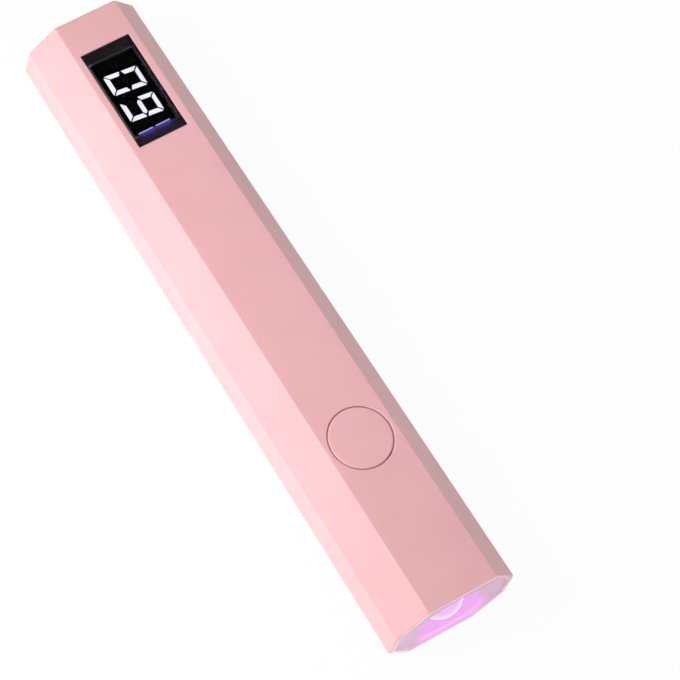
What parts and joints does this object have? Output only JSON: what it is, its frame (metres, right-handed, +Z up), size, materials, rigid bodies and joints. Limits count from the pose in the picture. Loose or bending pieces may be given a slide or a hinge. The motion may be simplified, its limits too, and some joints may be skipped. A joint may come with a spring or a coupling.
{
  "type": "handheld nail lamp",
  "caption": "Handheld nail-curing lamp: tapered eight-sided barrel, domed end light, countdown display window and push button on top, charging socket in the tail.",
  "frame": {"origin": "middle of the flat base, on the surface that the lamp lies on", "axes": "+X along the barrel to the light end, +Y across it, +Z up out of the face with the display and the button"},
  "size_m": [0.103, 0.02, 0.017],
  "materials": {
    "pink_abs": "satin moulded",
    "pink_abs_button": "satin moulded",
    "smoked_acrylic": "polished smoked",
    "mask_film": "printed film",
    "black_epoxy": "matt black",
    "lit_diffuser": "lit white",
    "dark_diffuser": "unlit smoked",
    "tinned_wire": "bright tin",
    "black_nylon": "moulded",
    "stainless_sheet": "pressed sheet",
    "spring_steel": "rolled",
    "green_laminate": "solder resist",
    "zinc_screw": "zinc plated",
    "white_abs": "moulded",
    "chip_epoxy": "moulded",
    "ferrite": "sintered",
    "enamelled_copper": "enamelled",
    "resistor_ceramic": "glazed",
    "capacitor_ceramic": "sintered",
    "gold_plate": "plated",
    "pouch_foil": "crimped foil",
    "acrylic_tape": "adhesive",
    "grey_foam": "open cell",
    "red_silicone": "satin",
    "black_silicone": "satin",
    "metallised_abs": "bright, lit",
    "clear_acrylic": "polished",
    "white_ceramic": "glazed",
    "light_die": "lit violet",
    "clear_silicone": "soft clear",
    "white_aluminium_board": "white resist",
    "grey_pad": "soft",
    "cast_aluminium": "cast"
  },
  "bodies": {
    "root": {"barrel": "pink_abs", "window_pane": "smoked_acrylic", "window_mask": "mask_film", "display_body": "black_epoxy", "lit_segments": "lit_diffuser", "dark_segments": "dark_diffuser", "display_pins": "tinned_wire", "switch_base": "black_nylon", "switch_cover": "stainless_sheet", "switch_dome": "spring_steel", "switch_legs": "tinned_wire", "main_board": "green_laminate", "board_screws": "zinc_screw", "carrier": "white_abs", "timer_chip": "chip_epoxy", "charger_chip": "chip_epoxy", "driver_chip": "chip_epoxy", "chip_legs": "tinned_wire", "coil_core": "ferrite", "coil_winding": "enamelled_copper", "chip_resistors": "resistor_ceramic", "chip_capacitors": "capacitor_ceramic", "socket_shell": "stainless_sheet", "socket_tongue": "black_nylon", "socket_contacts": "gold_plate", "battery_cell": "pouch_foil", "battery_tape": "acrylic_tape", "battery_guard_board": "green_laminate", "foam_pad": "grey_foam", "battery_lead_red": "red_silicone", "battery_lead_black": "black_silicone", "light_lead_red": "red_silicone", "light_lead_black": "black_silicone", "reflector": "metallised_abs", "dome_lens": "clear_acrylic", "lens_spacer": "white_abs", "emitter_base": "white_ceramic", "emitter_die": "light_die", "emitter_dome": "clear_silicone", "light_board": "white_aluminium_board", "light_board_screws": "zinc_screw", "thermal_pad": "grey_pad", "heat_sink": "cast_aluminium", "heat_sink_screws": "zinc_screw"},
    "button": {"button_cap": "pink_abs_button"},
    "plunger": {"switch_plunger": "black_nylon"}
  },
  "joints": [
    {"name": "button_press", "type": "slide", "parent": "root", "child": "button", "axis": [0, 0, -1], "range_m": [0, 0.0003], "stiffness_N_per_m": 2500, "springref_m": -0.0001},
    {"name": "plunger_press", "type": "slide", "parent": "root", "child": "plunger", "axis": [0, 0, -1], "range_m": [0, 0.0003], "deforming": ["switch_dome"]}
  ],
  "couplings": [
    {"joint": "plunger_press", "follows": "button_press", "ratio": 1}
  ]
}
